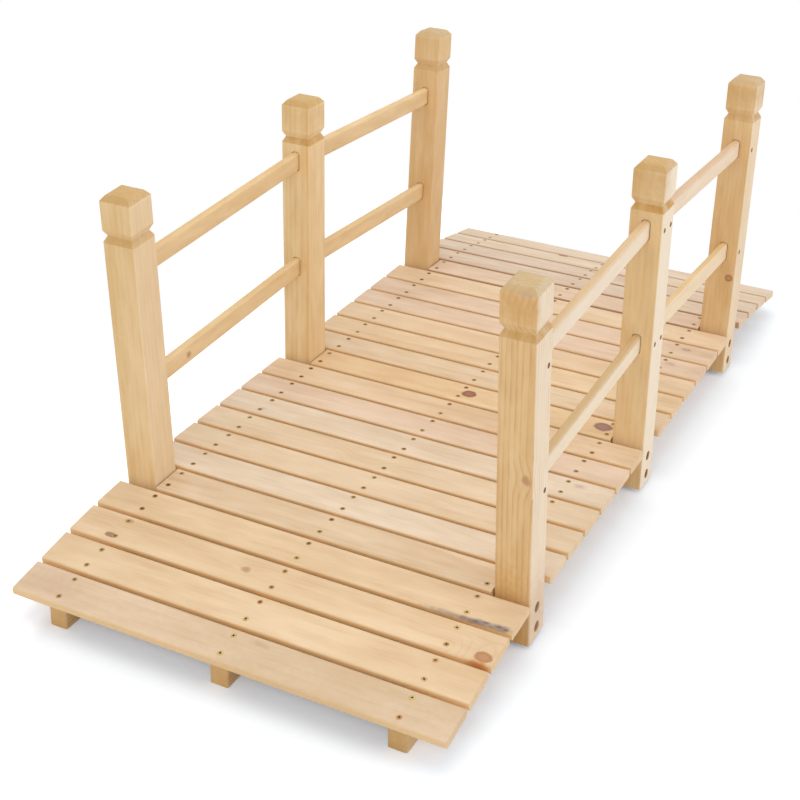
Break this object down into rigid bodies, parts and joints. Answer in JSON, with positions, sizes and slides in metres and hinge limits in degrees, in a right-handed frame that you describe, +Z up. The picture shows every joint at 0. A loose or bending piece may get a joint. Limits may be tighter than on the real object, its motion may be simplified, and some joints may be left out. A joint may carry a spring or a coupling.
{
  "type": "garden footbridge",
  "caption": "Low wooden garden footbridge with a crosswise plank deck that falls away at both ends, bolted square posts with grooved caps and two-rail handrails on both sides.",
  "frame": {"origin": "on the ground under the middle of the deck, midway between the outer beams", "axes": "+X along the walk towards the far end, +Y to the left of someone walking that way, +Z up"},
  "size_m": [1.5024, 0.668, 0.5535],
  "materials": {
    "deck_board": "planed softwood, eased edges, uncoated",
    "beam": "planed softwood, uncoated",
    "post": "planed softwood with sawn grooves, uncoated",
    "rail": "planed softwood, rounded corners, uncoated"
  },
  "bodies": {
    "root": {"beam_centre": "beam", "beam_left": "beam", "beam_right": "beam", "plank_01": "deck_board", "plank_02": "deck_board", "plank_03": "deck_board", "plank_04": "deck_board", "plank_05": "deck_board", "plank_06": "deck_board", "plank_07": "deck_board", "plank_08": "deck_board", "plank_09": "deck_board", "plank_10": "deck_board", "plank_11": "deck_board", "plank_12": "deck_board", "plank_13": "deck_board", "plank_14": "deck_board", "plank_15": "deck_board", "plank_16": "deck_board", "plank_17": "deck_board", "plank_18": "deck_board", "plank_19": "deck_board", "plank_20": "deck_board", "plank_21": "deck_board", "plank_22": "deck_board", "plank_23": "deck_board", "post_far_left": "post", "post_far_right": "post", "post_middle_left": "post", "post_middle_right": "post", "post_near_left": "post", "post_near_right": "post", "rail_lower_far_left": "rail", "rail_lower_far_right": "rail", "rail_lower_near_left": "rail", "rail_lower_near_right": "rail", "rail_upper_far_left": "rail", "rail_upper_far_right": "rail", "rail_upper_near_left": "rail", "rail_upper_near_right": "rail"}
  },
  "joints": []
}
